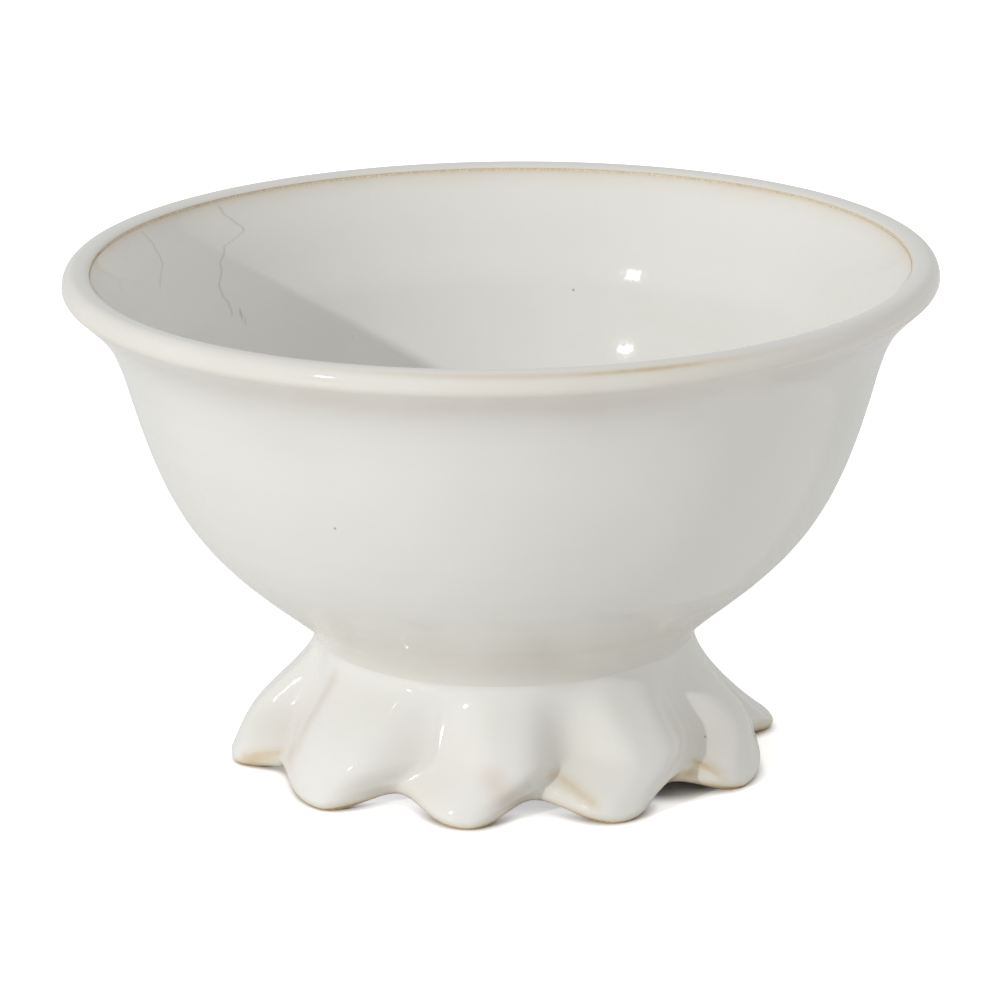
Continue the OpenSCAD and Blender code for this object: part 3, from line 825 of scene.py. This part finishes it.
# %% Foot coat: its two sides
foot_front = np.concatenate([pooled(outer_skirt), hem(0, glaze_end, HEM_ROWS, 0)[:, 1:]], 1)
foot_back = np.concatenate([outer_clay[:, ::4], hem(0, glaze_end, HEM_ROWS, GLAZE * THIN)[:, 4::4]], 1)
seat_edge = all_round([SEAT_OUT, SEAT_Z], [SEAT_OUT, NECK[1]])
foot_grid = round_the_foot(np.concatenate([foot_front, foot_back[:, ::-1][:, :-1], seat_edge], 1))
rows_front = foot_front.shape[1]
front = foot_grid[:rows_front]
degrees = np.degrees(np.arctan2(front[..., 0], -front[..., 1]))
# Distance up from the edge of the glaze, as a grid [point, column]
from_hem = np.cumsum(np.linalg.norm(np.diff(foot_front[:, ::-1], axis=1), axis=2), 1)
from_hem = np.concatenate([np.zeros((SKIRT_COLUMNS, 1)), from_hem], 1)[:, ::-1].T
print("from the neck to the hem", round(from_hem[0].min(), 1), "to", round(from_hem[0].max(), 1), "mm")

# %% [markdown]
# ## Where the glaze broke on the foot
#
# Along the hem the coat thins to a cream edge, broader in the folds. In six places it broke to tan, and in
# two it blushed. Each of these is a stroke between points read off the photograph, because a noise would
# put them anywhere.

# %% Foot coat: its marks, and the piece
BREAK_R, BLUSH_R = 58.0, 56.0  # distance of the marks from the axis
hem_cream = 0.35 * bell(from_hem, 0, 1.0) + 0.2 * bell(from_hem, 0, 4.0) * (1 - rise)[None, :]
# Each mark: its points as [direction in degrees, mm up from the hem], its width in mm, and its strength
breaks = (
    ([(-72.3, 2.0), (-69.5, 3.4), (-66.7, 4.6)], 1.8, 0.4),
    ([(11.7, 7.2), (14.7, 5.8), (18.3, 3.8)], 1.5, 0.38),
    ([(35.7, 2.6), (42.1, 2.5), (46.0, 2.7), (48.6, 4.6), (51.2, 4.2)], 1.4, 0.3),
    ([(45.8, 2.4), (46.4, 2.6)], 0.9, 0.2),
    ([(48.6, 4.9), (51.2, 1.8)], 0.8, 0.22),
    ([(89.0, 0.3), (92.4, 2.4)], 2.2, 0.16),
)
blushes = (([(-3.1, 10.7), (0.8, 3.4)], 3.0, 0.5), ([(-59.1, 26.8), (-56.2, 10.3), (-60.0, 6.6)], 2.5, 0.5))
thin_foot = hem_cream
for points, width, depth in breaks:
    thin_foot = thin_foot + depth * stroke(degrees, from_hem, BREAK_R, points, width)
thin_foot = np.clip(thin_foot, 0, 1)
# Painted shade darkens the folds 10 mm up from the hem; the strokes below add the two real blushes
fold_shade_and_blushes = 0.2 * (1 - blend)[None, :] * bell(from_hem, 10, 9)
for points, width, depth in blushes:
    fold_shade_and_blushes = fold_shade_and_blushes + depth * stroke(degrees, from_hem, BLUSH_R, points, width)


def down_the_back(marks):
    """Marks of the finished side, with those at its edge repeated on all rows under it."""
    return np.vstack([marks, np.repeat(marks[-1:], foot_grid.shape[0] - rows_front, 0)])


foot_marks = {"thin": down_the_back(thin_foot), "blush_and_shade": down_the_back(fold_shade_and_blushes)}
foot_mesh = make_mesh("foot_coat", foot_grid, foot_marks)
make_piece("foot_coat", foot_mesh, thick_glaze, "glaze", "foot_glaze")

# %% [markdown]
# ## The glaze under the foot
#
# The hollow of the foot was rinsed with glaze, which reaches over the underside of the bowl's floor. It is a
# coat of its own: the bare hem parts it from the one outside. One coat could run on round the hem, but
# then no clay would show there.

# %% Under coat
seat_wall = all_round([SEAT_IN, NECK[1]], [SEAT_IN, SEAT_Z])
inner_wall = all_round([under_top[0], NECK[1] - GLAZE])
coat_back = under_clay[:, 1::2]
under_grid = round_the_foot(np.concatenate([seat_wall, coat_back, under_skirt[:, ::-1], inner_wall], 1))
# From the hem up, the coat comes out of tan over its first 14 rows
WIPED_ROWS = 14
at_hem = seat_wall.shape[1] + coat_back.shape[1]
thin_under = np.zeros(under_grid.shape[:2])
thin_under[at_hem : at_hem + WIPED_ROWS] = np.linspace(0.6, 0.0, WIPED_ROWS)[:, None]
under_marks = {"thin": thin_under, "blush_and_shade": thin_under}
under_mesh = make_mesh("under_coat", under_grid, under_marks, (NECK[1], NECK[1] - GLAZE))
make_piece("under_coat", under_mesh, thick_glaze, "glaze", "under_glaze")

# %% [markdown]
# ## The clay of the foot
#
# The clay lies between both coats and shows at the hem, as the tan edge that a potter leaves bare. It is one
# ring, like the real one: down under the outer coat, round the hem and up under the inner one to the seat.
# There fired slip joins it to the bowl. The slip stays hidden, so it keeps its solid and gets only a material.

# %% Foot clay, and the material of the slip
foot_top = all_round([SEAT_IN, SEAT_Z], [SEAT_OUT, SEAT_Z])
hem_clay = hem(glaze_end, 180, 21, GLAZE * THIN)
clay_sections = np.concatenate([foot_top, outer_clay[:, 1::3], hem_clay, under_clay[:, ::-2][:, :-1]], 1)
foot_clay_mesh = make_mesh("foot_clay", round_the_foot(clay_sections), {"toast": 0.2})
make_piece("foot_clay", foot_clay_mesh, bare_clay, "clay", "foot")
frame["nodes"]["slip_joint"].data.materials.clear()
frame["nodes"]["slip_joint"].data.materials.append(slip_clay)

# %% [markdown]
# ## The table
#
# The bowl stands on a plain white laminate table. Such wares are shown on pure white, so the table glows a
# little where the lens sees it: more far from the foot, less in the shade at its right front, and not within
# 3 mm of what stands on it. Brighter lamps would whiten it too, but they would wash out the bowl.

# %% Floor
TABLE_HALF = 10  # metres, so that the table's end is never in view
floor_mesh = bpy.data.meshes.new("table")
corners = [(TABLE_HALF * x, TABLE_HALF * y, 0) for x, y in ((-1, -1), (1, -1), (1, 1), (-1, 1))]
floor_mesh.from_pydata(corners, [], [(0, 1, 2, 3)])
floor = new_object("table", floor_mesh)
floor_paint, tree = new_material("white_laminate_table")
seen = add_node(tree, "LightPath")
place = add_node(tree, "TexCoord")
# Two soft steps with the distance in metres from the middle of the shade: 0.5 from 14 mm on, 0.25 more
# from 80 mm on
shade = (0.038, -0.033, 0.0)
away = add_node(tree, "VectorMath", {"operation": "DISTANCE", 1: shade}, {0: (place, "Object")})
near_step = {"interpolation_type": "SMOOTHSTEP", 1: 0.007, 2: 0.014, 3: 0.0, 4: 0.5}
far_step = {"interpolation_type": "SMOOTHSTEP", 1: 0.03, 2: 0.08, 3: 0.0, 4: 0.25}
near = add_node(tree, "MapRange", near_step, {0: (away, "Value")})
far = add_node(tree, "MapRange", far_step, {0: (away, "Value")})
lit = add_node(tree, "Math", {"operation": "ADD"}, {0: (near, 0), 1: (far, 0)})
gap = add_node(tree, "AmbientOcclusion", {"samples": 16, "Distance": 0.003})
open_air = add_node(tree, "MapRange", {1: 0.3, 2: 0.9, 3: 0.0, 4: 1.0}, {0: (gap, "AO")})
product = {"operation": "MULTIPLY"}
open_glow = add_node(tree, "Math", product, {0: (open_air, 0), 1: (lit, 0)})
glow = add_node(tree, "Math", product, {0: (seen, "Is Camera Ray"), 1: (open_glow, 0)})
paint = {"Base Color": linear("#f4f4f3"), "Roughness": 0.5, "Emission Color": linear("#ffffff")}
end_in(tree, paint, {"Emission Strength": (glow, 0)})
floor_mesh.materials.append(floor_paint)
print("table", 2 * TABLE_HALF, "m square, its top at the height", floor.location.z)

# %% [markdown]
# ## Light
#
# A white room gives an even light from all round, and one small lamp stands in front on the left, 23 degrees
# up. The edge of the shadow that the rim throws inside the bowl gives its place: for every direction of
# light that edge is another curve, and only this one fits the photograph. A big soft box would light
# the glaze as well, but it would blur that edge and spread the two small highlights.

# %% Lights
BOWL_MIDDLE = Vector((0, 0, 0.06))


def direction(azimuth, elevation):
    """Unit vector to a place at these degrees: [sin a cos e, -cos a cos e, sin e]."""
    a, e = math.radians(azimuth), math.radians(elevation)
    return Vector((math.sin(a) * math.cos(e), -math.cos(a) * math.cos(e), math.sin(e)))


def lamp(name, azimuth, elevation, distance, size, watts):
    """An oval light, size = (width, height), that looks at the bowl from an azimuth, elevation and distance."""
    data = bpy.data.lights.new(name, "AREA")
    data.shape = "ELLIPSE"
    data.size, data.size_y = size
    data.energy = watts
    light = new_object(name, data)
    light.location = BOWL_MIDDLE + direction(azimuth, elevation) * distance
    light.rotation_euler = direction(azimuth, elevation).to_track_quat("Z", "Y").to_euler()
    return light


key = lamp("key_lamp", -46.5, 23.3, 3.0, (0.04, 0.08), 37)
# A long low card at the right lifts the shaded side of the foot. It is lower than the rim, so none of its
# light falls into the bowl, and it is kept out of the reflections
card = lamp("low_white_card", 90, -1.5, 0.5, (0.6, 0.09), 0.16)
card.visible_camera = card.visible_glossy = False
print("lamp and card at", [[round(v, 2) for v in light.location] for light in (key, card)])

# %% Room
# The room gives 0.68 of white as light, and shows as full white past the table's edge
ROOM_LIGHT = 0.68
world = bpy.data.worlds.new("studio")
world.use_nodes = True
air = world.node_tree.nodes["Background"]
air.inputs["Color"].default_value = linear("#ffffff")
seen = add_node(world.node_tree, "LightPath")
strength = add_node(world.node_tree, "MapRange", {3: ROOM_LIGHT, 4: 1.0}, {0: (seen, "Is Camera Ray")})
world.node_tree.links.new(strength.outputs[0], air.inputs["Strength"])
bpy.context.scene.world = world
bpy.context.scene.view_settings.view_transform = "Standard"
print("room at", ROOM_LIGHT, "of white")
